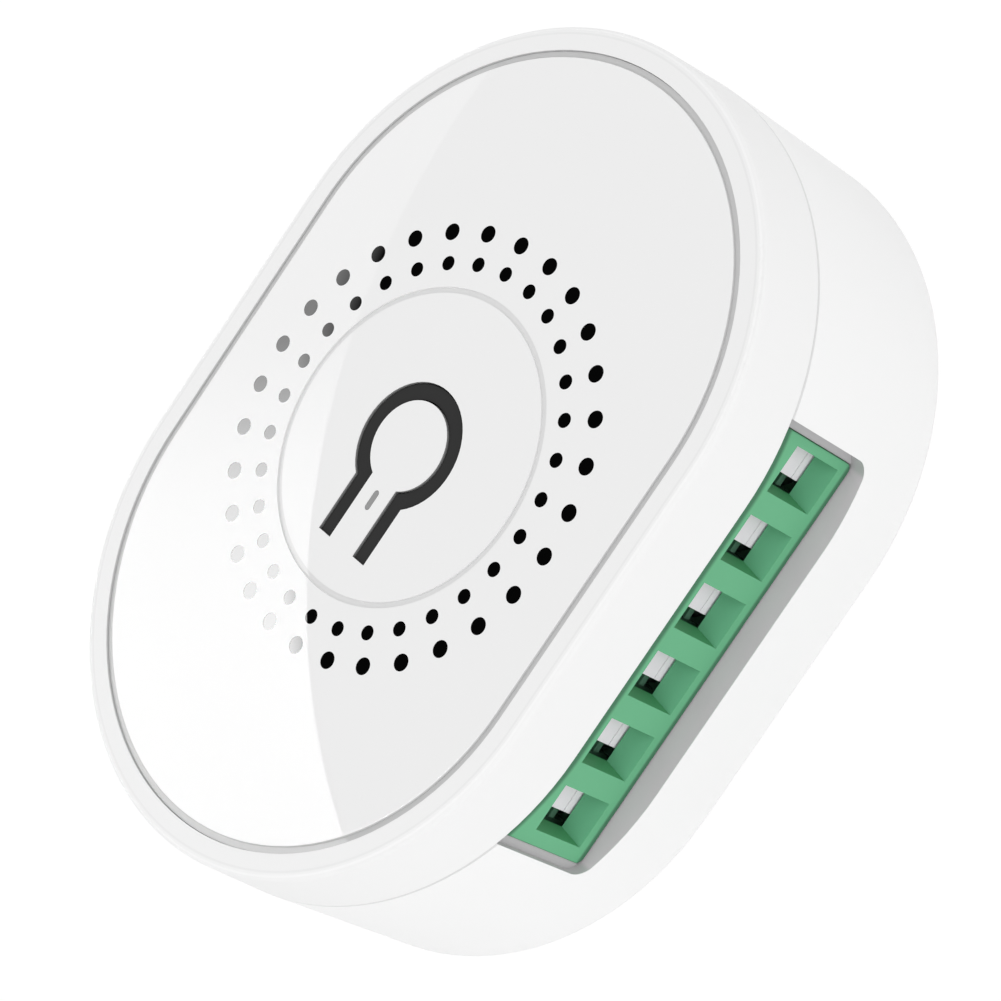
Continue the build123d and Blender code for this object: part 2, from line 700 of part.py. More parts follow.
def make_relay():
    """Pieces of the first relay: case, base, pins, iron, coil, armature and contacts."""
    yoke_back, bobbin_start, pole_start, armature_start = relay_stations()
    x_low, x_high = relay_x - relay_width / 2, relay_x + relay_width / 2
    y_low, y_high = relay_y - relay_length / 2, relay_y + relay_length / 2
    case_low = board_bottom - relay_height
    cavity_low = case_low + relay_case_wall
    base_low = board_bottom - relay_base_thickness
    wall, fit = relay_case_wall, relay_case_wall + relay_fit

    case = block((x_low, x_high), (y_low, y_high), (case_low, board_bottom - relay_case_standoff))
    case = fillet(case.edges().filter_by(Axis.Z), relay_case_wall)
    case -= block((x_low + wall, x_high - wall), (y_low + wall, y_high - wall),
                  (cavity_low, board_bottom - relay_case_standoff))
    base = block((x_low + fit, x_high - fit), (y_low + fit, y_high - fit), (base_low, board_bottom))
    base -= fixed_riser(relay_fit, base_low, board_bottom)
    pins = []
    for place in relay_pin_places():
        base -= rod(place, relay_pin_radius + relay_fit, base_low, board_bottom)
        pins.append(rod(place, relay_pin_radius, base_low - relay_pin_inner, lead_tip))

    plate_low = base_low - iron_thickness
    coil_z = plate_low - relay_fit - winding_radius
    flange_half = winding_radius + relay_fit
    iron_x = (relay_x - iron_half_width, relay_x + iron_half_width)
    yoke = block(iron_x, (yoke_back, yoke_back + iron_thickness), (coil_z - flange_half, base_low))
    yoke += block(iron_x, (yoke_back, pole_start + pole_thickness + coil_gap), (plate_low, base_low))
    yoke += rod_along_y(relay_x, coil_z, core_radius, yoke_back, pole_start + pole_thickness)
    yoke += rod_along_y(relay_x, coil_z, pole_radius, pole_start, pole_start + pole_thickness)

    bobbin_end = bobbin_start + bobbin_length
    bore = core_radius + relay_fit
    tube = bore + bobbin_wall
    bobbin = rod_along_y(relay_x, coil_z, tube, bobbin_start, bobbin_end)
    for start in (bobbin_start, bobbin_end - bobbin_flange):
        bobbin += block((relay_x - flange_half, relay_x + flange_half), (start, start + bobbin_flange),
                        (coil_z - flange_half, coil_z + flange_half))
    bobbin -= rod_along_y(relay_x, coil_z, bore, bobbin_start, bobbin_end)
    coil_ends = (bobbin_start + bobbin_flange, bobbin_end - bobbin_flange)
    winding = (rod_along_y(relay_x, coil_z, winding_radius, *coil_ends)
               - rod_along_y(relay_x, coil_z, tube, *coil_ends))

    armature_end = armature_start + iron_thickness
    armature_high = base_low - armature_top_gap
    armature_low = armature_high - armature_height
    armature = block((relay_x - armature_half_width, relay_x + armature_half_width),
                     (armature_start, armature_end), (armature_low, armature_high))
    blade_low = cavity_low + blade_floor_gap
    rivet_z = blade_low + rivet_radius
    blade_x = (relay_x - blade_half_width, relay_x + blade_half_width)
    blade_y = (armature_end, armature_end + blade_thickness)
    blade = block(blade_x, blade_y, (blade_low, armature_low + blade_overlap))
    blade += rod_along_y(relay_x, rivet_z, rivet_radius, armature_end - moving_rivet_height, armature_end)
    strip_y = (pole_start + pole_thickness - fixed_strip_thickness, pole_start + pole_thickness)
    strip_x = (blade_x[0], relay_x + relay_pin_reach)
    fixed = block(strip_x, strip_y, (blade_low, rivet_z + rivet_radius))
    fixed += fixed_riser(0, blade_low, lead_tip)
    fixed += rod_along_y(relay_x, rivet_z, rivet_radius, strip_y[1], strip_y[1] + rivet_height)

    return {"case": case, "base": base, "pins": Compound(pins), "yoke": yoke, "bobbin": bobbin,
            "winding": winding, "armature": armature, "moving_blade": blade, "fixed_contact": fixed}


def make_transformer():
    """Framed ferrite core round a coil former with pin rails, and its winding."""
    top = board_bottom - transformer_standoff
    low = top - core_height
    place = (transformer_x, transformer_y)
    half_core, half_depth = core_width / 2, core_depth / 2
    core = centred(place, (core_width, core_depth, core_height), low)
    core_window = (core_width - 2 * core_leg, core_depth, core_height - 2 * core_leg)
    core -= centred(place, core_window, low + core_leg)
    core += rod(place, centre_leg_radius, low + core_leg, top - core_leg)
    former_low, former_high = low + core_leg + seat_gap, top - core_leg - seat_gap
    bore = centre_leg_radius + seat_gap
    tube = bore + coil_former_wall
    flange_half = half_core - core_leg - seat_gap
    former = rod(place, tube, former_low, former_high)
    flange = (2 * flange_half, 2 * coil_former_half_depth, coil_former_flange)
    for flange_low in (former_low, former_high - coil_former_flange):
        former += centred(place, flange, flange_low)
    rail = (2 * flange_half, rail_width, board_bottom - former_high + coil_former_flange)
    for side in (-1, 1):
        rail_place = (place[0], place[1] + side * (coil_former_half_depth - rail_width / 2))
        former += centred(rail_place, rail, former_high - coil_former_flange)
    former -= rod(place, bore, former_low, former_high)
    coil_low, coil_high = former_low + coil_former_flange, former_high - coil_former_flange
    winding = rod(place, transformer_coil_radius, coil_low, coil_high)
    winding -= rod(place, tube, coil_low, coil_high)
    return {"transformer_core": core, "transformer_bobbin": former, "transformer_winding": winding}


def transformer_lead_places():
    """Places in plan of the transformer's four pins."""
    rail_y = coil_former_half_depth - rail_width / 2
    reach = core_width / 2 - core_leg - 2 * lead_radius
    return [(transformer_x + x, transformer_y + y) for x in (-reach, reach) for y in (-rail_y, rail_y)]


def make_bulk_capacitor():
    """Round can that lies along Y, with a rolled bead near its sealed end."""
    x, y = bulk_capacitor_place
    z = board_bottom - bulk_capacitor_lift - bulk_capacitor_radius
    ends = (y - bulk_capacitor_length / 2, y + bulk_capacitor_length / 2)
    can = rod_along_y(x, z, bulk_capacitor_radius, *ends)
    can = fillet(can.edges(), can_edge_radius)
    bead_y = (ends[0] + lead_bend, ends[0] + 2 * lead_bend)
    return can - (rod_along_y(x, z, bulk_capacitor_radius, *bead_y)
                  - rod_along_y(x, z, bulk_capacitor_radius - bead_depth, *bead_y))


def make_output_capacitor():
    """Round can that hangs from the board, with a rolled bead near it."""
    low = board_bottom - output_capacitor_length
    can = rod(output_capacitor_place, output_capacitor_radius, low, board_bottom)
    can = fillet(flat_edges(can, low), can_edge_radius)
    bead_z = (board_bottom - 2 * lead_bend, board_bottom - lead_bend)
    return can - (rod(output_capacitor_place, output_capacitor_radius, *bead_z)
                  - rod(output_capacitor_place, output_capacitor_radius - bead_depth, *bead_z))


def bent_lead(start, end, z):
    """Round wire that runs level from start to end and then up through the board."""
    run = Vector(end[0] - start[0], end[1] - start[1], 0)
    level = Pos((start[0] + end[0]) / 2, (start[1] + end[1]) / 2, z) * Cylinder(
        lead_radius, run.length, rotation=(0, 90, math.degrees(math.atan2(run.Y, run.X))))
    return level + Pos(end[0], end[1], z) * Sphere(lead_radius) + rod(end, lead_radius, z, lead_tip)


def make_component_leads():
    """Wire leads of the wired parts, and the round holes that they need in the board."""
    straight = list(transformer_lead_places())
    leads = []
    bulk_x, bulk_y = bulk_capacitor_place
    bulk_z = board_bottom - bulk_capacitor_lift - bulk_capacitor_radius
    bulk_end = bulk_y - bulk_capacitor_length / 2
    bulk_rows = [bulk_x - lead_bend, bulk_x + lead_bend]
    bent = [((x, bulk_end), (x, bulk_end - lead_bend), bulk_z) for x in bulk_rows]
    fuse_z = board_bottom - fuse_lift - fuse_radius
    fuse_reach = fuse_length / 2
    bent += [((fuse_place[0] + side * fuse_reach, fuse_place[1]),
              (fuse_place[0] + side * (fuse_reach + lead_bend), fuse_place[1]), fuse_z) for side in (-1, 1)]
    for side in (-1, 1):
        straight.append((output_capacitor_x, output_capacitor_place[1] + side * lead_bend))
        straight.append((film_capacitor_x + side * film_capacitor_lead_reach, film_capacitor_place[1]))
    short = [(varistor_place[0] + side * varistor_lead_reach, varistor_place[1]) for side in (-1, 1)]
    leads += [rod(place, lead_radius, board_bottom, lead_tip) for place in straight]
    disc_rise = math.sqrt(varistor_radius ** 2 - (varistor_lead_reach + lead_radius) ** 2)
    short_low = board_bottom - varistor_lift - varistor_radius + disc_rise
    leads += [rod(place, lead_radius, short_low, lead_tip) for place in short]
    leads += [bent_lead(*route) for route in bent]
    holes = [(place, lead_radius) for place in straight + short + [route[1] for route in bent]]
    return Compound(leads), holes


def make_varistor():
    """Coated disc that stands on edge, with flats where its leads leave."""
    x, y = varistor_place
    z = board_bottom - varistor_lift - varistor_radius
    disc = rod_along_y(x, z, varistor_radius, y - varistor_thickness / 2, y + varistor_thickness / 2)
    disc = fillet(disc.edges(), varistor_edge_radius)
    for side in (-1, 1):
        lead = (x + side * varistor_lead_reach, y)
        disc -= rod(lead, lead_radius + lead_clearance, z, board_bottom)
    return disc


def make_fuse_resistor():
    """Round coated body with rounded ends, lying along X."""
    x, y = fuse_place
    z = board_bottom - fuse_lift - fuse_radius
    body = rod_along_x(y, z, fuse_radius, x - fuse_length / 2, x + fuse_length / 2)
    return fillet(body.edges(), fuse_end_radius)


def make_film_capacitor():
    """Boxed capacitor with rounded rear edges."""
    body = centred(film_capacitor_place, film_capacitor_size, board_bottom - film_capacitor_size[2])
    return fillet(body.edges().filter_by(Axis.Z), film_capacitor_edge_radius)


def foot_places(place, size):
    """Places in plan of a moulded part's four feet, across its ends along Y."""
    return [(place[0] + side_x * size[0] / 4, place[1] + side_y * size[1] / 2)
            for side_x in (-1, 1) for side_y in (-1, 1)]


def make_bridge_rectifier():
    """Flat moulded body with four feet on the board's rear side."""
    low = board_bottom - bridge_size[2]
    body = centred(bridge_place, (bridge_size[0], bridge_size[1], bridge_size[2] - foot_gap), low)
    for place in foot_places(bridge_place, bridge_size):
        body += centred(place, (foot_size[0], foot_size[1], foot_size[2] + foot_gap),
                        board_bottom - foot_gap - foot_size[2])
    return body


def make_optocouplers():
    """Two moulded bodies with four feet each, on the board's front side."""
    pieces = []
    body_size = (opto_size[0], opto_size[1], opto_size[2] - foot_gap)
    for y in opto_rows:
        place = (relay_x + opto_shift, y)
        piece = centred(place, body_size, board_top + foot_gap)
        for foot in foot_places(place, opto_size):
            piece += centred(foot, (foot_size[0], foot_size[1], foot_size[2] + foot_gap), board_top)
        pieces.append(piece)
    return Compound(pieces)


def make_radio():
    """Radio module: its small board, its shield and its folded aerial track."""
    board = centred(radio_place, radio_size, board_top)
    top = board_top + radio_size[2]
    shield_place = (radio_place[0], radio_place[1] + shield_shift)
    shield = centred(shield_place, shield_size, top)
    hollow_x, hollow_y = shield_size[0] - 2 * shield_wall, shield_size[1] - 2 * shield_wall
    shield -= centred(shield_place, (hollow_x, hollow_y, shield_size[2] - shield_wall), top)
    step = (shield_size[0] - antenna_track) / antenna_turns
    lanes = [radio_place[0] + (i - antenna_turns / 2) * step for i in range(antenna_turns + 1)]
    middle = radio_place[1] + antenna_shift
    track = [centred((x, middle), (antenna_track, antenna_height, antenna_thickness), top) for x in lanes]
    for i in range(antenna_turns):
        y = middle + (-1) ** i * (antenna_height - antenna_track) / 2
        joint = ((lanes[i] + lanes[i + 1]) / 2, y)
        track.append(centred(joint, (step, antenna_track, antenna_thickness), top))
    return {"radio_board": board, "radio_shield": shield, "radio_antenna": joined(track)}


def make_surface_parts():
    """Small blocks soldered flat on the board's front side."""
    pieces = []
    for x, y, *size in relay_surface_parts:
        pieces.append(centred((relay_x + x, y), size, board_top))
    for x, y, *size in supply_surface_parts:
        pieces.append(centred((transformer_x + x, transformer_y + y), size, board_top))
    return Compound(pieces)


def make_parts():
    """All nodes by name."""
    leads, holes = make_component_leads()
    for x, y in relay_pin_places():
        holes += [((x, y), relay_pin_radius), ((x, -y), relay_pin_radius)]
    parts = {
        "rear_housing": make_rear_housing(),
        "front_cover": make_front_cover(),
        "face_plate": make_face_plate(),
        "button_tongue": make_button_tongue(),
        "light_pipe": make_light_pipe(),
        "button_guard": make_button_guard(),
        "status_led": centred((0, pipe_place_y), led_size, board_top),
        "main_board": make_main_board(holes),
        "board_screws": make_board_screws(),
        "terminal_housing": make_terminal_housing(),
        "terminal_contacts": make_terminal_contacts(),
        "bulk_capacitor": make_bulk_capacitor(),
        "output_capacitor": make_output_capacitor(),
        "film_capacitor": make_film_capacitor(),
        "varistor": make_varistor(),
        "fuse_resistor": make_fuse_resistor(),
        "bridge_rectifier": make_bridge_rectifier(),
        "optocouplers": make_optocouplers(),
        "surface_parts": make_surface_parts(),
        "component_leads": leads,
    }
    parts.update(make_press_switch())
    parts.update(make_transformer())
    parts.update(make_radio())
    for index, y in enumerate(pole_places, 1):
        parts[f"clamp_cage_{index}"] = make_clamp_cage(y)
        parts[f"clamp_screw_{index}"] = make_clamp_screw(y)
    for name, piece in make_relay().items():
        parts[f"relay_1_{name}"] = piece
        parts[f"relay_2_{name}"] = mirror(piece, about=Plane.XZ)
    return parts


os.makedirs("parts", exist_ok=True)
for name, part in make_parts().items():
    export_step(part, f"parts/{name}.step")
print(f"box {body_width:.1f} x {2 * half_length:.1f} x {body_depth:.1f} mm")
print(f"plunger stroke {plunger_stroke:.3f} mm, screw axis at x = {screw_x:.2f} mm")
print(f"cage rises {cage_travel:.1f} mm in {cage_travel / thread_pitch:.2f} turns of its screw")
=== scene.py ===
"""Looks of a stadium shaped switch module for a wall box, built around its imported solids."""
import json
import logging
from dataclasses import dataclass
from enum import Enum
from typing import Any, Optional, Sequence, Union

import bpy
import numpy as np
from mathutils import Matrix, Vector


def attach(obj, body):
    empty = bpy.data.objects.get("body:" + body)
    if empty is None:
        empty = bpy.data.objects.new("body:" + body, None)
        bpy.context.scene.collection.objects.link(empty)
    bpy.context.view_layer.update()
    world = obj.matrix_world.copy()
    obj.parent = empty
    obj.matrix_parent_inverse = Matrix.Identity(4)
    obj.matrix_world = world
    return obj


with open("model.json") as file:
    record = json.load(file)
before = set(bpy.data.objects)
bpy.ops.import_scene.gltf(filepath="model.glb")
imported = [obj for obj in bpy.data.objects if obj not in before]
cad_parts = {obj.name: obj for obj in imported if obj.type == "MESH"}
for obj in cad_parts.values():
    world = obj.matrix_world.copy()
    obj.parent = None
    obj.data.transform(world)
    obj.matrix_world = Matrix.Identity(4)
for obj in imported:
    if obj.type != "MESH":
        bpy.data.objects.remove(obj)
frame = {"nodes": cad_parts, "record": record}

log = logging.getLogger("switch_module")

MM = 0.001
Pair = tuple[float, float]
Triple = tuple[float, float, float]
Colour = Triple
Value = Union["Wire", float]


class Axis(Enum):
    """Part axis that a brushed or wound finish runs along."""

    X = 0
    Y = 1
    Z = 2


class Wire:
    """Shader socket on which Python's arithmetic adds Math nodes."""

    def __init__(self, plan: "NodePlan", socket: bpy.types.NodeSocket) -> None:
        """Keep the socket and the node plan that it belongs to."""
        self.plan = plan
        self.socket = socket

    def _math(self, operation: str, *values: Value) -> "Wire":
        """Add one Math node.

        Args:
            operation: The Math node's operation.
            values: Its inputs in order, as wires or numbers.

        Returns:
            The wire that carries the result.
        """
        node = self.plan.add("ShaderNodeMath", {"operation": operation}, dict(enumerate(values)))
        return Wire(self.plan, node.outputs[0])

    def __add__(self, other: Value) -> "Wire":
        """Sum."""
        return self._math("ADD", self, other)

    __radd__ = __add__

    def __sub__(self, other: Value) -> "Wire":
        """Difference."""
        return self._math("SUBTRACT", self, other)

    def __rsub__(self, other: Value) -> "Wire":
        """Difference with this wire taken away."""
        return self._math("SUBTRACT", other, self)

    def __mul__(self, other: Value) -> "Wire":
        """Product."""
        return self._math("MULTIPLY", self, other)

    __rmul__ = __mul__

    def __truediv__(self, other: Value) -> "Wire":
        """Quotient."""
        return self._math("DIVIDE", self, other)

    def __pow__(self, power: Value) -> "Wire":
        """Power."""
        return self._math("POWER", self, power)

    def __abs__(self) -> "Wire":
        """Size without sign."""
        return self._math("ABSOLUTE", self)

    def root(self) -> "Wire":
        """Square root."""
        return self._math("SQRT", self)

    def lowest(self, other: Value) -> "Wire":
        """The smaller of this and another value."""
        return self._math("MINIMUM", self, other)

    def highest(self, other: Value) -> "Wire":
        """The larger of this and another value."""
        return self._math("MAXIMUM", self, other)

    def sine(self) -> "Wire":
        """Sine of an angle in radians."""
        return self._math("SINE", self)

    def step(self, start: float, end: float, low: float = 0.0, high: float = 1.0) -> "Wire":
        """Smooth change from one level to another.

        Args:
            start: Value of this wire where the change begins.
            end: Value of this wire where it ends, above or below the start.
            low: Level before the change.
            high: Level after the change.

        Returns:
            The wire that carries the level.
        """
        first, last, before, after = (start, end, low, high) if start < end else (end, start, high, low)
        node = self.plan.add("ShaderNodeMapRange", {"interpolation_type": "SMOOTHSTEP"},
                             {"Value": self, "From Min": first, "From Max": last,
                              "To Min": before, "To Max": after})
        return Wire(self.plan, node.outputs[0])

    def between(self, low: float, high: float, slack: float, blur: float) -> "Wire":
        """Mask that is 1 between two values.

        Args:
            low: Lower end of the range.
            high: Upper end of the range.
            slack: How far past each end the mask comes down to 0.
            blur: Width over which it changes at each end.

        Returns:
            The wire that carries the mask.
        """
        return self.step(low - slack, low - slack + blur) * self.step(high + slack, high + slack - blur)


class NodePlan:
    """Node tree of one material or of the world, filled from Python expressions."""

    def __init__(self, owner: Any) -> None:
        """Start an empty tree on a material or a world.

        Args:
            owner: The material or world, which starts to use nodes.
        """
        owner.use_nodes = True
        self.tree = owner.node_tree
        self.tree.nodes.clear()
        self._place: Optional[tuple[Wire, Wire, Wire]] = None

    def _feed(self, target: bpy.types.NodeSocket, value: Any) -> None:
        """Link or set one input socket.

        Args:
            target: The input socket.
            value: A wire or an output socket to link, or else a number, a vector or a colour without alpha.
        """
        source = value.socket if isinstance(value, Wire) else value
        if isinstance(source, bpy.types.NodeSocket):
            self.tree.links.new(source, target)
        elif target.type == "RGBA":
            target.default_value = (*source, 1.0)
        else:
            target.default_value = source

    def add(self, kind: str, settings: Optional[dict[str, Any]] = None,
            sockets: Optional[dict[Any, Any]] = None) -> bpy.types.Node:
        """Add one node.

        Args:
            kind: The node's type.
            settings: Properties of the node, which are set first.
            sockets: Values, wires or sockets for its inputs, by name or number.

        Returns:
            The node.
        """
        node = self.tree.nodes.new(kind)
        for name, value in (settings or {}).items():
            setattr(node, name, value)
        for name, value in (sockets or {}).items():
            self._feed(node.inputs[name], value)
        return node

    def split(self, vector: bpy.types.NodeSocket) -> tuple[Wire, Wire, Wire]:
        """The three parts of a vector."""
        node = self.add("ShaderNodeSeparateXYZ", None, {0: vector})
        return tuple(Wire(self, part) for part in node.outputs)

    def coordinates(self) -> bpy.types.NodeSocket:
        """Socket of the piece's own Object coordinates, in metres."""
        return self.add("ShaderNodeTexCoord").outputs["Object"]

    def place(self) -> tuple[Wire, Wire, Wire]:
        """The three Object coordinates of the surface point, in millimetres.

        Returns:
            Wires for X, Y and Z, made at the first call.
        """
        if self._place is None:
            self._place = tuple(part * (1 / MM) for part in self.split(self.coordinates()))
        return self._place

    def own_normal(self) -> bpy.types.NodeSocket:
        """Socket of the mesh's own normal."""
        return self.add("ShaderNodeNewGeometry").outputs["Normal"]

    def noise(self, size: float, detail: float = 2.0, stretch: Triple = (1.0, 1.0, 1.0)) -> Wire:
        """Cloudy noise between 0 and 1.

        Args:
            size: Width of one patch in millimetres.
            detail: Octaves of finer noise on top.
            stretch: How much shorter a patch is along X, Y and Z.

        Returns:
            The wire that carries the noise.
        """
        vector = self.add("ShaderNodeMapping", None, {"Vector": self.coordinates(), "Scale": stretch})
        node = self.add("ShaderNodeTexNoise", None,
                        {"Vector": vector.outputs[0], "Scale": 1 / (size * MM), "Detail": detail})
        return Wire(self, node.outputs[0])

    def blend(self, mask: Value, first: Any, second: Any) -> bpy.types.NodeSocket:
        """Mix two colours.

        Args:
            mask: Share of the second colour.
            first: Colour or socket where the mask is 0.
            second: Colour or socket where the mask is 1.

        Returns:
            The socket of the mixed colour.
        """
        return self.add("ShaderNodeMix", {"data_type": "RGBA"}, {0: mask, 6: first, 7: second}).outputs[2]

    def bump(self, height: Wire, depth: float,
             normal: Optional[bpy.types.NodeSocket] = None) -> bpy.types.NodeSocket:
        """Normal of a fine relief.

        Args:
            height: Relief between 0 and 1.
            depth: Height of the relief in millimetres.
            normal: Normal under the relief, where it isn't the mesh's own.

        Returns:
            The socket of the changed normal.
        """
        sockets = {"Strength": 1.0, "Distance": depth * MM, "Height": height}
        if normal is not None:
            sockets["Normal"] = normal
        return self.add("ShaderNodeBump", None, sockets).outputs[0]


def shade(colour: Colour, factor: float) -> Colour:
    """Colour made darker or lighter by a factor."""
    return tuple(min(1.0, part * factor) for part in colour)


def grey(level: float) -> Colour:
    """Grey whose linear value is the level."""
    return (level, level, level)


@dataclass(frozen=True)
class Outline:
    """Stadium outline of the body and masks of the places along it, in millimetres.

    Here and in the finishes, a pair whose name ends in fade gives the values at which a mask is 0 and 1.
    """

    half_width: float = 20.4
    half_straight: float = 9.05
    face_height: float = 20.2
    seam_height: float = 14.5
    draft_slope: float = 0.0526
    rim_width: float = 1.96
    groove_width: float = 0.45
    groove_slack: float = 0.06
    window_low: float = 5.82
    window_ends: Pair = (-16.18, 15.02)
    window_slack: float = 0.03
    window_head_fade: Pair = (0.05, 0.13)
    window_side_fade: Pair = (0.0, 1.0)
    skin_fade: Pair = (0.45, 0.40)
    level_fade: Pair = (0.14, 0.10)
    blur: float = 0.02
    least_radius: float = 0.001

    def inside(self, plan: NodePlan) -> Wire:
        """How far the surface point lies inside the outline.

        The distance from the straight axis of the stadium is taken from the outline's radius.

        Args:
            plan: The node tree that the nodes go into.

        Returns:
            The wire that carries the distance.
        """
        x, y, _ = plan.place()
        over = (abs(y) - self.half_straight).highest(0.0)
        return self.half_width - (x ** 2.0 + over ** 2.0).root()

    def drop(self, plan: NodePlan) -> Wire:
        """How far the surface point lies below the plate's face."""
        return self.face_height - plan.place()[2]

    def below_face(self, plan: NodePlan) -> Wire:
        """Mask of all that lies lower than the plate's face."""
        return self.drop(plan).step(self.blur, 2 * self.blur)

    def skin(self, plan: NodePlan) -> Wire:
        """Mask of the outer face of the wall."""
        return self.inside(plan).step(*self.skin_fade)

    def groove(self, plan: NodePlan) -> Wire:
        """Mask of the walls and floor of the groove round the plate.

        Args:
            plan: The node tree that the nodes go into.

        Returns:
            The wire that carries the mask.
        """
        far = self.rim_width + self.groove_width
        ring = self.inside(plan).between(self.rim_width, far, self.groove_slack, self.blur)
        return ring * self.below_face(plan)

    def window(self, plan: NodePlan) -> Wire:
        """Mask of the terminal window, 1 between its ends and from its sill up to the seam.

        Args:
            plan: The node tree that the nodes go into.

        Returns:
            The wire that carries the mask.
        """
        x, y, z = plan.place()
        foot = (z - self.window_low).step(-self.window_slack, self.blur - self.window_slack)
        head = (self.seam_height - z).step(*self.window_head_fade)
        ends = y.between(*self.window_ends, self.window_slack, self.blur)
        return ends * foot * head * x.step(*self.window_side_fade)

    def wall_normal(self, plan: NodePlan) -> bpy.types.NodeSocket:
        """Smooth normal of the body's upright wall, and the mesh's own normal elsewhere.

        The wall's normal points straight away from the stadium's axis, tipped up by the draft of the
        front cover. It holds where the mesh's normal is nearly level and the point is near the outline.

        Args:
            plan: The node tree that the nodes go into.

        Returns:
            The socket of the normal.
        """
        x, y, z = plan.place()
        flat = self.half_straight
        over = (y.highest(flat) - flat) + (y.lowest(-flat) + flat)
        radial = (x ** 2.0 + over ** 2.0).root().highest(self.least_radius)
        tip = (z - self.seam_height).step(-self.blur / 2, self.blur / 2) * self.draft_slope
        smooth = plan.add("ShaderNodeCombineXYZ", None, {0: x / radial, 1: over / radial, 2: tip})
        own = plan.own_normal()
        level = abs(plan.split(own)[2]).step(*self.level_fade)
        wall = level * self.skin(plan) * (1 - self.window(plan))
        mixed = plan.add("ShaderNodeMix", {"data_type": "VECTOR"}, {0: wall, 4: own, 5: smooth.outputs[0]})
        turned = plan.add("ShaderNodeVectorMath", {"operation": "NORMALIZE"}, {0: mixed.outputs[1]})
        return turned.outputs[0]


@dataclass(frozen=True)
class Highlight:
    """Reflection of the light card on the plate, in plan: the arc that ends it and its way to the light."""

    centre: Pair = (31.57, 19.23)
    radius: float = 44.03
    way: Pair = (0.487, -0.873)

    def beyond(self, x: Wire, y: Wire) -> Wire:
        """How far a point of the plate lies past the arc, on the side of the reflection."""
        return ((x - self.centre[0]) ** 2.0 + (y - self.centre[1]) ** 2.0).root() - self.radius

    def along(self, x: Wire, y: Wire) -> Wire:
        """How far a point of the plate lies along the way on which the reflection grows brighter."""
        return x * self.way[0] + y * self.way[1]


@dataclass(frozen=True)
class Finish:
    """Surface finish of one material, in linear colours and millimetres."""

    name: str
    colour: Colour
    roughness: float = 0.5
    gloss_spread: float = 0.08

    def gloss(self, uneven: Wire) -> Wire:
        """Roughness that an uneven pattern between 0 and 1 spreads about its middle."""
        return uneven * self.gloss_spread + (self.roughness - self.gloss_spread / 2)

    def surface(self, plan: NodePlan) -> dict[str, Any]:
        """Sockets of the surface shader, by name.

        Args:
            plan: The node tree that the nodes go into.

        Returns:
            Values and wires for the sockets of the Principled shader.
        """
        raise NotImplementedError(self.name)

    def material(self) -> bpy.types.Material:
        """Material with this finish.

        Returns:
            The new material.
        """
        material = bpy.data.materials.new(self.name)
        plan = NodePlan(material)
        shader = plan.add("ShaderNodeBsdfPrincipled", None, self.surface(plan))
        plan.add("ShaderNodeOutputMaterial", None, {"Surface": shader.outputs[0]})
        material.diffuse_color = (*self.colour, 1.0)
        return material


@dataclass(frozen=True)
class Moulding(Finish):
    """Moulded plastic or lacquer, with a fine grain and slight clouds in its tone."""

    specular: float = 0.5
    grain: float = 0.12
    grain_detail: float = 3.0
    relief: float = 0.0006
    clouds: float = 0.02
    cloud_size: float = 6.0
    coat: float = 0.0
    coat_roughness: float = 0.02

    def tone(self, plan: NodePlan) -> bpy.types.NodeSocket:
        """Base colour, a little uneven over several millimetres."""
        return plan.blend(plan.noise(self.cloud_size), shade(self.colour, 1 - self.clouds),
                          shade(self.colour, 1 + self.clouds))

    def coat_weight(self, plan: NodePlan) -> Value:
        """Share of clear gloss on top."""
        return self.coat

    def normal(self, plan: NodePlan) -> Optional[bpy.types.NodeSocket]:
        """Normal under the grain, or none for the mesh's own."""
        return None

    def surface(self, plan: NodePlan) -> dict[str, Any]:
        """Sockets of the surface shader: tone, grained gloss, clear gloss and, where it has any, relief.

        Args:
            plan: The node tree that the nodes go into.

        Returns:
            Values and wires for the sockets of the Principled shader.
        """
        fine = plan.noise(self.grain, self.grain_detail)
        sockets = {"Base Color": self.tone(plan), "Roughness": self.gloss(fine),
                   "Specular IOR Level": self.specular, "Coat Weight": self.coat_weight(plan),
                   "Coat Roughness": self.coat_roughness}
        if self.relief:
            sockets["Normal"] = plan.bump(fine, self.relief, self.normal(plan))
        return sockets


@dataclass(frozen=True)
class RimPaintedLine:
    """Fine painted line round the rim, dark for shade and light for a highlight: its insets from the
    outline, its tone and how much of that is laid on.
    """

    insets: Pair
    tone: float
    share: float


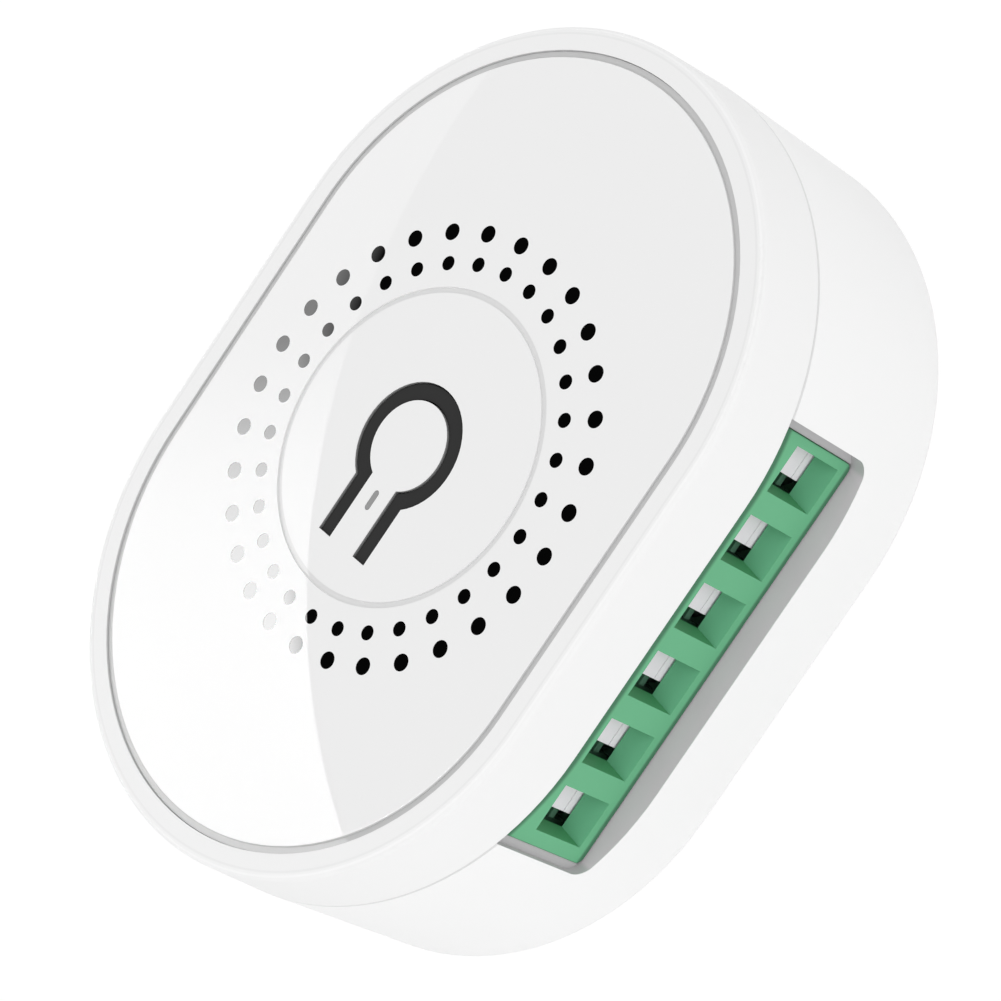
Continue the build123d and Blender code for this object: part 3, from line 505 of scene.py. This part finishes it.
@dataclass(frozen=True)
class ShellMoulding(Moulding):
    """White shell plastic: smooth round wall, with painted shade along the seam, in the groove, on the
    window reveal and on the rim, and a painted highlight line round the rim.
    """

    shape: Outline = Outline()
    cover_tone: float = 0.967
    # Painted shade along the seam between cover and housing.
    seam_shade_tone: float = 0.82
    seam_fade: Pair = (0.13, 0.09)
    # Painted shade on the rim's face, and on its round edge away from the terminals.
    face_shade_tone: float = 0.961
    face_fade: Pair = (0.06, 0.01)
    rim_fade: Pair = (1.2, 1.1)
    near_way: Pair = (0.9, -0.2)
    near_fade: Pair = (-6.0, 0.0)
    # A painted shade line and a painted highlight line round the rim.
    painted_rim_lines: tuple[RimPaintedLine, ...] = (RimPaintedLine((0.76, 0.90), 0.90, 0.76), RimPaintedLine((0.48, 0.60), 1.06, 0.48))
    line_slack: float = 0.03
    # Painted shade in the groove round the plate.
    groove_shade_tone: Colour = grey(0.62)
    # Painted shade on the window reveal, darker towards its ends.
    reveal: Colour = (0.733, 0.66, 0.71)
    reveal_shade_fade: Pair = (0.02, 0.05)
    end_reveal_shade: Colour = (0.56, 0.55, 0.56)
    end_fade: Pair = (0.95, 0.55)

    def tone(self, plan: NodePlan) -> bpy.types.NodeSocket:
        """Base colour: the reveal, what lies behind the wall's face in the window, has painted shade.

        The rim's flat face has painted shade that makes it a touch darker than the walls, and so has its
        round edge on the side away from the terminals. A fine painted shade line runs where the round edge
        starts, and a fine painted highlight line runs on it. The seam and the groove have painted shade too.

        Args:
            plan: The node tree that the nodes go into.

        Returns:
            The socket of the colour.
        """
        x, y, z = plan.place()
        inside, drop, rise = self.shape.inside(plan), self.shape.drop(plan), z - self.shape.seam_height
        tone = plan.blend(rise.step(0.0, self.shape.blur), super().tone(plan),
                          shade(self.colour, self.cover_tone))
        # Painted shade in the seam line.
        seam = abs(rise).step(*self.seam_fade) * self.shape.skin(plan)
        tone = plan.blend(seam, tone, shade(self.colour, self.seam_shade_tone))
        # The rim's face, and its round edge on the side away from the terminals, get painted shade.
        near = (x * self.near_way[0] + y * self.near_way[1]).step(*self.near_fade)
        rim = drop.step(*self.rim_fade)
        face = drop.step(*self.face_fade).highest(rim * (1 - near))
        tone = plan.blend(face, tone, shade(self.colour, self.face_shade_tone))
        # Painted shade line and painted highlight line round the rim.
        for line in self.painted_rim_lines:
            band = inside.between(*line.insets, self.line_slack, 2 * self.line_slack)
            tone = plan.blend(band * rim * line.share, tone, shade(self.colour, line.tone))
        # Painted shade in the groove.
        tone = plan.blend(self.shape.groove(plan), tone, self.groove_shade_tone)
        # Painted shade on the reveal, darker at its ends.
        low, high = self.shape.window_ends
        from_end = (high - low) / 2 - abs(y - (low + high) / 2)
        reveal = plan.blend(from_end.step(*self.end_fade), self.reveal, self.end_reveal_shade)
        return plan.blend(self.shape.window(plan) * inside.step(*self.reveal_shade_fade), tone, reveal)

    def normal(self, plan: NodePlan) -> Optional[bpy.types.NodeSocket]:
        """Smooth normal of the round wall."""
        return self.shape.wall_normal(plan)


@dataclass(frozen=True)
class PlateMoulding(Moulding):
    """Glossy plate plastic with painted shade on the vent walls, in the groove, in the keyhole slot and in a
    faint pressed ring.
    """

    gloss_spread: float = 0.06
    relief: float = 0.0
    coat_roughness: float = 0.0
    shape: Outline = Outline()
    # Painted shade in the groove round the plate.
    groove_shade_tone: Colour = grey(0.62)
    # Painted shade on the vent walls.
    vent_shade_tone: Colour = grey(0.004)
    vent_range: Pair = (10.95, 15.1)
    # Painted shade in the faint pressed ring.
    ring_shade_tone: float = 0.92
    ring_radius: float = 10.35
    ring_fade: Pair = (0.24, 0.20)
    # Painted shade on the keyhole slot's walls.
    slot_shade_tone: Colour = grey(0.26)
    slot_radius: float = 4.45
    slot_half_width: float = 2.62
    slot_root: float = -8.8
    blur: float = 0.05

    def radius(self, plan: NodePlan) -> Wire:
        """Distance of the surface point from the button's axis."""
        x, y, _ = plan.place()
        return (x ** 2.0 + y ** 2.0).root()

    def vents(self, plan: NodePlan) -> Wire:
        """Mask of the walls of the vent holes."""
        rings = self.radius(plan).between(*self.vent_range, self.blur, self.blur)
        return rings * self.shape.below_face(plan)

    def slot(self, plan: NodePlan) -> Wire:
        """Mask of the keyhole slot's walls: a round part, and a neck from its middle to its root.

        Args:
            plan: The node tree that the nodes go into.

        Returns:
            The wire that carries the mask.
        """
        x, y, _ = plan.place()
        neck = (abs(x).step(self.slot_half_width, self.slot_half_width - 2 * self.blur)
                * y.step(self.slot_root, self.slot_root + self.blur) * y.step(self.blur, 0.0))
        disc = self.radius(plan).step(self.slot_radius, self.slot_radius - self.blur)
        return disc.highest(neck) * self.shape.below_face(plan)

    def tone(self, plan: NodePlan) -> bpy.types.NodeSocket:
        """Base colour: the ring, groove, vents and slot have painted shade below the face.

        Args:
            plan: The node tree that the nodes go into.

        Returns:
            The socket of the colour.
        """
        # Painted shade in the pressed ring.
        ring = abs(self.radius(plan) - self.ring_radius).step(*self.ring_fade) * self.shape.below_face(plan)
        tone = plan.blend(ring, super().tone(plan), shade(self.colour, self.ring_shade_tone))
        # Painted shade in the groove.
        tone = plan.blend(self.shape.groove(plan), tone, self.groove_shade_tone)
        # Painted shade on the vent walls.
        tone = plan.blend(self.vents(plan), tone, self.vent_shade_tone)
        # Painted shade on the slot's walls.
        return plan.blend(self.slot(plan), tone, self.slot_shade_tone)

    def coat_weight(self, plan: NodePlan) -> Value:
        """Share of clear gloss on top, none in the vents."""
        return (1 - self.vents(plan)) * self.coat


@dataclass(frozen=True)
class VentShadeFilm(Moulding):
    """Black film whose black is painted shade for the vent hole; it grows glossy beyond the edge of the
    highlight, and along the highlight's way.
    """

    relief: float = 0.0
    coat_roughness: float = 0.0
    highlight: Highlight = Highlight()
    edge_width: float = 4.4
    way_fade: Pair = (-10.0, 12.0)
    way_gloss: float = 0.5
    most_gloss: float = 0.93

    def coat_weight(self, plan: NodePlan) -> Value:
        """Share of clear gloss on top: the sum of its growth past the arc and along the way.

        Args:
            plan: The node tree that the nodes go into.

        Returns:
            The wire that carries the share.
        """
        x, y, _ = plan.place()
        edge = (self.highlight.beyond(x, y) * (1 / self.edge_width)).highest(0.0)
        way = self.highlight.along(x, y).step(*self.way_fade, 0.0, self.way_gloss)
        return (edge + way).lowest(self.most_gloss)


@dataclass(frozen=True)
class BlockMoulding(Moulding):
    """Green block plastic, with painted shade inside the wire funnels and painted shadow along the block's
    foot and under the cover.
    """

    shape: Outline = Outline()
    face_x: float = 18.6
    funnel_fade: Pair = (0.02, 0.07)
    facing_fade: Pair = (0.6, 0.8)
    # Painted shade on the funnel walls, by the way that they face.
    funnel_sill_shade: Colour = (0.130, 0.432, 0.238)
    funnel_end_shade: Colour = (0.066, 0.300, 0.122)
    # Painted shadow along the block's foot and under the cover.
    edge_shadow_tone: float = 0.42
    nose_low: float = 5.87
    foot_fade: Pair = (0.55, 0.25)
    overhang_slope: float = 1.27
    head_fade: Pair = (0.5, 0.1)

    def tone(self, plan: NodePlan) -> bpy.types.NodeSocket:
        """Base colour: funnel walls get painted shade by the way that they face.

        The painted shadow under the cover follows the seam: each millimetre that a point lies behind the
        wall lets it lie lower by the overhang's slope. The block's foot gets a painted shadow too.

        Args:
            plan: The node tree that the nodes go into.

        Returns:
            The socket of the colour.
        """
        x, _, z = plan.place()
        _, sideways, upright = (abs(part).step(*self.facing_fade) for part in plan.split(plan.own_normal()))
        funnel = (self.face_x - x).step(*self.funnel_fade)
        # Painted shade on the funnel walls.
        tone = plan.blend(funnel * upright, super().tone(plan), self.funnel_sill_shade)
        tone = plan.blend(funnel * sideways, tone, self.funnel_end_shade)
        # Painted shadow along the foot and under the cover.
        foot = (z - self.nose_low).step(*self.foot_fade)
        overhang = self.shape.seam_height - z - self.shape.inside(plan) * self.overhang_slope
        edge = foot.highest(overhang.step(*self.head_fade))
        return plan.blend(edge, tone, shade(self.colour, self.edge_shadow_tone))


@dataclass(frozen=True)
class Plating(Finish):
    """Plated or rolled metal, brushed along one axis and slightly stained."""

    roughness: float = 0.35
    gloss_spread: float = 0.2
    brushed: Axis = Axis.Z
    scratch: float = 0.05
    scratch_stretch: float = 0.04
    relief: float = 0.0008
    stain: float = 0.12
    stain_size: float = 1.4
    stain_detail: float = 4.0
    stain_fade: Pair = (0.45, 0.70)
    metallic: float = 1.0
    front: Optional[float] = None
    front_blur: float = 0.1
    front_matt: float = 0.8
    front_tone: Colour = (0.95, 0.886, 0.95)

    def surface(self, plan: NodePlan) -> dict[str, Any]:
        """Sockets of the surface shader: metal with long scratches and faint stains.

        Where a front is given, what lies beyond it along X is matt and light, and what lies behind it keeps
        the base colour, which for the terminal's cage and contact is painted shade.

        Args:
            plan: The node tree that the nodes go into.

        Returns:
            Values and wires for the sockets of the Principled shader.
        """
        stretch = tuple(self.scratch_stretch if axis is self.brushed else 1.0 for axis in Axis)
        lines = plan.noise(self.scratch, stretch=stretch)
        spots = plan.noise(self.stain_size, self.stain_detail).step(*self.stain_fade)
        tone = plan.blend(spots, self.colour, shade(self.colour, 1 - self.stain))
        metallic: Value = self.metallic
        if self.front is not None:
            # Behind the front the base colour stays, which for the terminal's cage and contact is painted
            # shade.
            matt = plan.place()[0].step(self.front - self.front_blur, self.front)
            tone = plan.blend(matt, tone, self.front_tone)
            metallic = (1 - matt * self.front_matt) * self.metallic
        return {"Base Color": tone, "Metallic": metallic, "Roughness": self.gloss(lines),
                "Normal": plan.bump(lines, self.relief)}


@dataclass(frozen=True)
class Winding(Finish):
    """Enamelled wire or tape laid in turns along a coil's axis."""

    roughness: float = 0.35
    gloss_spread: float = 0.2
    along: Axis = Axis.Y
    pitch: float = 0.18
    turn_depth: float = 0.3
    # Painted shade in the hollows between turns.
    hollow_shade_tone: float = 0.35
    patch: float = 0.9
    patch_detail: float = 3.0
    metallic: float = 0.9

    def surface(self, plan: NodePlan) -> dict[str, Any]:
        """Sockets of the surface shader: each turn is one half wave, with painted shade in the hollows
        between turns and full colour on its crest.

        Args:
            plan: The node tree that the nodes go into.

        Returns:
            Values and wires for the sockets of the Principled shader.
        """
        turns = abs((plan.place()[self.along.value] * (np.pi / self.pitch)).sine())
        # Painted shade in the hollows between turns.
        tone = plan.blend(turns, shade(self.colour, self.hollow_shade_tone), self.colour)
        uneven = plan.noise(self.patch, self.patch_detail)
        return {"Base Color": tone, "Metallic": self.metallic, "Roughness": self.gloss(uneven),
                "Normal": plan.bump(turns, self.pitch * self.turn_depth)}


@dataclass(frozen=True)
class SolderMask(Finish):
    """Circuit board lacquer over copper tracks that run in rows and columns."""

    roughness: float = 0.35
    gloss_spread: float = 0.1
    track: Colour = (0.10, 0.42, 0.20)
    pitch: float = 1.3
    track_fade: Pair = (0.72, 0.80)
    area: float = 5.0
    area_fade: Pair = (0.50, 0.52)
    fibre: float = 0.25
    coat: float = 0.3
    relief: float = 0.02

    def surface(self, plan: NodePlan) -> dict[str, Any]:
        """Sockets of the surface shader: tracks are where a stepped noise meets a row or a column.

        Args:
            plan: The node tree that the nodes go into.

        Returns:
            Values and wires for the sockets of the Principled shader.
        """
        x, y, _ = plan.place()
        rows, columns = (abs((part * (np.pi / self.pitch)).sine()).step(*self.track_fade) for part in (y, x))
        areas = plan.noise(self.area, detail=0.0).step(*self.area_fade)
        tracks = rows * areas + columns * (1 - areas)
        return {"Base Color": plan.blend(tracks, self.colour, self.track),
                "Roughness": self.gloss(plan.noise(self.fibre)), "Coat Weight": self.coat,
                "Normal": plan.bump(tracks, self.relief)}


class Finishes:
    """Finish of every material slot of the record, and of the scene's own piece."""

    def __init__(self) -> None:
        """Write the finishes down once, by slot name."""
        listed: list[Finish] = [
            ShellMoulding("case_white", grey(0.884), roughness=0.55, specular=0.06, clouds=0.006),
            PlateMoulding("plate_white", grey(0.86), roughness=0.53, specular=0.0, clouds=0.004, coat=0.15),
            # The vent films' black is painted shade for the vent holes.
            VentShadeFilm("vent_black", grey(0.002), roughness=0.54, specular=0.0, clouds=0.1),
            Moulding("light_pipe_grey", grey(0.285), roughness=0.45, specular=0.05, clouds=0.05),
            # The guard is a black part; its rib fills the keyhole slot, and its dark grey there stands in
            # for the slot's shade.
            Moulding("guard_black", grey(0.038), roughness=0.6, specular=0.0, clouds=0.06),
            Moulding("led_white", (0.80, 0.76, 0.45), roughness=0.2, coat=0.5),
            SolderMask("board_green", (0.02, 0.16, 0.07)),
            Plating("screw_steel", grey(0.60)),
            BlockMoulding("terminal_green", (0.138, 0.442, 0.238), specular=0.25),
            # The dark green of cage_steel and contact_tin is painted shade inside the terminal; beyond X
            # 16.4 they take the light front tone.
            Plating("cage_steel", (0.11, 0.27, 0.17), roughness=0.6, brushed=Axis.Y, stain=0.06,
                    metallic=0.2, front=16.4),
            Plating("contact_tin", (0.11, 0.27, 0.17), roughness=0.6, brushed=Axis.Y, metallic=0.2,
                    front=16.4),
            Moulding("can_black", grey(0.02), roughness=0.35, coat=0.4, clouds=0.1),
            Moulding("film_yellow", (0.60, 0.42, 0.05), roughness=0.45, clouds=0.04),
            Moulding("disc_blue", (0.03, 0.12, 0.45), roughness=0.35, coat=0.5, relief=0.004, grain=0.6),
            Moulding("resistor_green", (0.10, 0.24, 0.14), relief=0.004, grain=0.5),
            Moulding("epoxy_black", grey(0.02), roughness=0.6, relief=0.002),
            Moulding("opto_white", (0.72, 0.72, 0.66), roughness=0.6),
            Moulding("surface_grey", (0.12, 0.10, 0.08), clouds=0.2),
            Plating("lead_tin", grey(0.66), roughness=0.3),
            Moulding("ferrite_grey", grey(0.045), roughness=0.75, relief=0.004, clouds=0.15),
            Moulding("former_black", grey(0.02), roughness=0.55),
            Winding("winding_tape", (0.62, 0.42, 0.03), along=Axis.Z, pitch=1.4, metallic=0.0),
            Winding("copper_wire", (0.72, 0.30, 0.12), pitch=0.16),
            SolderMask("radio_board_blue", (0.01, 0.03, 0.12), track=(0.02, 0.09, 0.30), pitch=0.9),
            Plating("shield_tin", grey(0.66), brushed=Axis.X),
            Plating("antenna_gold", (0.75, 0.52, 0.18), roughness=0.3),
            Moulding("relay_case_blue", (0.02, 0.07, 0.30), roughness=0.3, clouds=0.05),
            Moulding("relay_base_black", grey(0.02)),
            Plating("relay_iron", grey(0.45), roughness=0.4, brushed=Axis.Y),
            Moulding("bobbin_white", (0.74, 0.71, 0.62)),
            Plating("contact_brass", (0.72, 0.50, 0.20), roughness=0.3),
        ]
        self.by_slot = {finish.name: finish for finish in listed}
        self._made: dict[str, bpy.types.Material] = {}

    def material(self, slot: str) -> bpy.types.Material:
        """Material of a slot, made at its first use.

        Args:
            slot: The slot's name.

        Returns:
            The material.
        """
        if slot not in self._made:
            self._made[slot] = self.by_slot[slot].material()
        return self._made[slot]

    def dress_nodes(self) -> dict[str, str]:
        """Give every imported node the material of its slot.

        Returns:
            The slot of each node.
        """
        slots = {entry["node"]: entry["material_slot"] for entry in frame["record"]["subparts"]}
        for node, slot in slots.items():
            piece = frame["nodes"][node]
            if not piece.material_slots:
                piece.data.materials.append(None)
            for holder in piece.material_slots:
                holder.link = "DATA"
                holder.material = self.material(slot)
        return slots


def linked_mesh(name: str, points: np.ndarray, faces: np.ndarray) -> bpy.types.Object:
    """Piece from points and faces.

    Args:
        name: The piece's name.
        points: One row of three metres for each point.
        faces: One row of point numbers for each face.

    Returns:
        The new object, linked to the scene.
    """
    mesh = bpy.data.meshes.new(name)
    mesh.from_pydata(points.tolist(), [], faces.tolist())
    mesh.update()
    piece = bpy.data.objects.new(name, mesh)
    bpy.context.scene.collection.objects.link(piece)
    return piece


def level_sheet(name: str, centre: Pair, size: float, height: float) -> bpy.types.Object:
    """Level square sheet that faces up, in millimetres.

    Args:
        name: The piece's name.
        centre: Its middle in plan.
        size: Its width.
        height: Its height.

    Returns:
        The new object, linked to the scene.
    """
    side = np.array((-size / 2, size / 2))
    x, y = np.meshgrid(side + centre[0], side + centre[1])
    points = np.stack((x, y, np.full_like(x, height)), -1).reshape(-1, 3) * MM
    return linked_mesh(name, points, np.array([[0, 1, 3, 2]]))


@dataclass
class VentShadeFilms:
    """Glossy black film across each vent hole, just below the plate's face: its black is painted shade for
    the hole, and its gloss takes the light card's reflection.

    A ring is its reach along X and along Y, and the radius of its films.
    """

    count: int = 30
    depth: float = 0.015
    face_height: float = Outline.face_height
    spokes: int = 24
    rings: tuple[Triple, ...] = ((14.25, 14.25, 0.58), (11.78, 12.24, 0.50))

    def build(self, finishes: Finishes) -> bpy.types.Object:
        """Make all films as one piece that rides with the case.

        Each film is a flat fan: its points are its centre and a circle round it, and the centres lie on two
        ovals at equal steps of angle.

        Args:
            finishes: Where its material comes from.

        Returns:
            The piece.
        """
        turn = np.linspace(0.0, 2 * np.pi, self.count, endpoint=False)
        reach_x, reach_y, radius = np.repeat(np.array(self.rings), self.count, axis=0).T
        angle = np.tile(turn, len(self.rings))
        height = np.full_like(angle, self.face_height - self.depth)
        centre = np.stack((reach_x * np.cos(angle), reach_y * np.sin(angle), height), -1)
        spoke = np.linspace(0.0, 2 * np.pi, self.spokes, endpoint=False)
        circle = np.stack((np.cos(spoke), np.sin(spoke), np.zeros_like(spoke)), -1)
        edge = centre[:, None] + circle[None] * radius[:, None, None]
        points = np.concatenate((centre[:, None], edge), axis=1).reshape(-1, 3) * MM
        first = np.arange(len(centre))[:, None] * (self.spokes + 1)
        step = np.arange(self.spokes)[None]
        after = (step + 1) % self.spokes
        faces = np.stack(np.broadcast_arrays(first, first + 1 + step, first + 1 + after), -1)
        # These films are painted shade for the vent holes.
        piece = linked_mesh("vent_shade_films", points, faces.reshape(-1, 3))
        piece.data.materials.append(finishes.material("vent_black"))
        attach(piece, "case")
        return piece


@dataclass
class Studio:
    """Pale floor, soft light, highlight card and the photograph's camera, in millimetres."""

    plate_height: float = Outline.face_height
    highlight: Highlight = Highlight()
    camera_place: Triple = (157.28, 23.19, 188.44)
    camera_right: Triple = (0.5853, 0.5564, -0.5898)
    camera_up: Triple = (-0.4734, 0.825, 0.3086)
    camera_range: Pair = (10.0, 10000.0)
    lens: float = 133.83
    sensor: float = 36.0
    horizon_light: float = 1.22
    zenith_light: float = 0.82
    key_light: float = 0.14
    key_spread_deg: float = 60.0
    key_height_deg: float = 15.0
    key_side_deg: float = -10.0
    floor_size: float = 1200.0
    floor_tone: float = 0.88
    floor_glow: float = 1.03
    floor_glow_share: float = 0.92
    card_height: float = 150.0
    card_size: float = 260.0
    card_blur: float = 0.026
    card_least: float = 0.21
    card_rises: tuple[Triple, ...] = ((-10.0, 7.5, 0.60), (5.0, 16.0, 0.13))
    coat_reflectance: float = 0.0465

    def world(self) -> None:
        """Light the scene from all round, softly less from above, and show white where it is seen."""
        world = bpy.data.worlds.new("studio")
        bpy.context.scene.world = world
        plan = NodePlan(world)
        ray = plan.add("ShaderNodeLightPath")
        direct, glossy, through = (Wire(plan, ray.outputs[name])
                                   for name in ("Is Camera Ray", "Is Glossy Ray", "Is Transmission Ray"))
        seen = direct.highest(glossy).highest(through)
        height = abs(plan.split(plan.add("ShaderNodeTexCoord").outputs["Generated"])[2])
        soft = height * (self.zenith_light - self.horizon_light) + self.horizon_light
        light = plan.add("ShaderNodeBackground", None,
                         {"Color": grey(1.0), "Strength": seen + (1 - seen) * soft})
        plan.add("ShaderNodeOutputWorld", None, {"Surface": light.outputs[0]})

    def key(self) -> bpy.types.Object:
        """Broad soft lamp from the terminals' side, a little above the horizon.

        Returns:
            The lamp.
        """
        lamp = bpy.data.lights.new("key_lamp", "SUN")
        lamp.energy = self.key_light * np.pi
        lamp.angle = np.radians(self.key_spread_deg)
        lamp.specular_factor = 0.0
        piece = bpy.data.objects.new("key_lamp", lamp)
        bpy.context.scene.collection.objects.link(piece)
        side, height = np.radians(self.key_side_deg), np.radians(self.key_height_deg)
        towards = Vector((np.cos(side) * np.cos(height), np.sin(side) * np.cos(height), np.sin(height)))
        piece.rotation_euler = towards.to_track_quat("Z", "Y").to_euler()
        return piece

    def floor(self) -> bpy.types.Object:
        """Pale floor under the rear face, which keeps a faint shadow in a white picture.

        Returns:
            The floor.
        """
        piece = level_sheet("floor", (0.0, 0.0), self.floor_size, 0.0)
        material = bpy.data.materials.new("floor_paper")
        plan = NodePlan(material)
        seen = Wire(plan, plan.add("ShaderNodeLightPath").outputs["Is Camera Ray"])
        paper = plan.add("ShaderNodeBsdfDiffuse", None, {"Color": grey(self.floor_tone)})
        white = plan.add("ShaderNodeEmission", None, {"Color": grey(1.0), "Strength": self.floor_glow})
        mixed = plan.add("ShaderNodeMixShader", None,
                         {0: seen * self.floor_glow_share, 1: paper.outputs[0], 2: white.outputs[0]})
        plan.add("ShaderNodeOutputMaterial", None, {"Surface": mixed.outputs[0]})
        piece.data.materials.append(material)
        return piece

    def card(self) -> bpy.types.Object:
        """Light card over the far side of the plate, seen only in gloss.

        Each point of the card is what the camera sees mirrored at one point of the plate, and that point
        sets its light: none up to the highlight's arc, and beyond it more along the highlight's way.

        Returns:
            The card.
        """
        grow = 1 + self.card_height / (self.camera_place[2] - self.plate_height)
        centre = tuple(part * (1 - grow) for part in self.camera_place[:2])
        piece = level_sheet("light_card", centre, self.card_size, self.plate_height + self.card_height)
        material = bpy.data.materials.new("light_card")
        plan = NodePlan(material)
        x, y = ((part - middle) / grow for part, middle in zip(plan.place(), centre))
        lit = self.highlight.beyond(x, y).step(-self.card_blur, self.card_blur)
        along = self.highlight.along(x, y)
        rises = (along.step(start, end, 0.0, rise) for start, end, rise in self.card_rises)
        level = sum(rises, self.card_least)
        glow = plan.add("ShaderNodeEmission", None, {"Strength": level * lit * (1 / self.coat_reflectance)})
        plan.add("ShaderNodeOutputMaterial", None, {"Surface": glow.outputs[0]})
        piece.data.materials.append(material)
        piece.visible_camera = False
        piece.visible_diffuse = False
        piece.visible_shadow = False
        piece.visible_transmission = False
        return piece

    def camera(self) -> bpy.types.Object:
        """Camera at the photograph's place, turn and lens.

        Returns:
            The camera.
        """
        right = Vector(self.camera_right).normalized()
        back = right.cross(Vector(self.camera_up)).normalized()
        turn = Matrix((right, back.cross(right), back)).transposed().to_4x4()
        lens = bpy.data.cameras.new("photo_camera")
        lens.lens = self.lens
        lens.sensor_width = self.sensor
        lens.sensor_fit = "HORIZONTAL"
        lens.clip_start, lens.clip_end = (reach * MM for reach in self.camera_range)
        piece = bpy.data.objects.new("photo_camera", lens)
        bpy.context.scene.collection.objects.link(piece)
        piece.matrix_world = Matrix.Translation(Vector(self.camera_place) * MM) @ turn
        bpy.context.scene.camera = piece
        return piece

    def build(self) -> list[bpy.types.Object]:
        """Set up the world, key lamp, floor, card and camera.

        Returns:
            The objects, in that order.
        """
        bpy.context.scene.view_settings.view_transform = "Standard"
        self.world()
        return [self.key(), self.floor(), self.card(), self.camera()]


def main() -> None:
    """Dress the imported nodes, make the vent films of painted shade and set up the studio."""
    logging.basicConfig(level=logging.INFO, format="%(message)s")
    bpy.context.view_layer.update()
    finishes = Finishes()
    for node, slot in finishes.dress_nodes().items():
        log.info("%s dressed in %s", node, slot)
    shade_films = VentShadeFilms().build(finishes)
    log.info("%s made with %d faces", shade_films.name, len(shade_films.data.polygons))
    for piece in Studio().build():
        log.info("%s set up", piece.name)


if __name__ == "__main__":
    main()
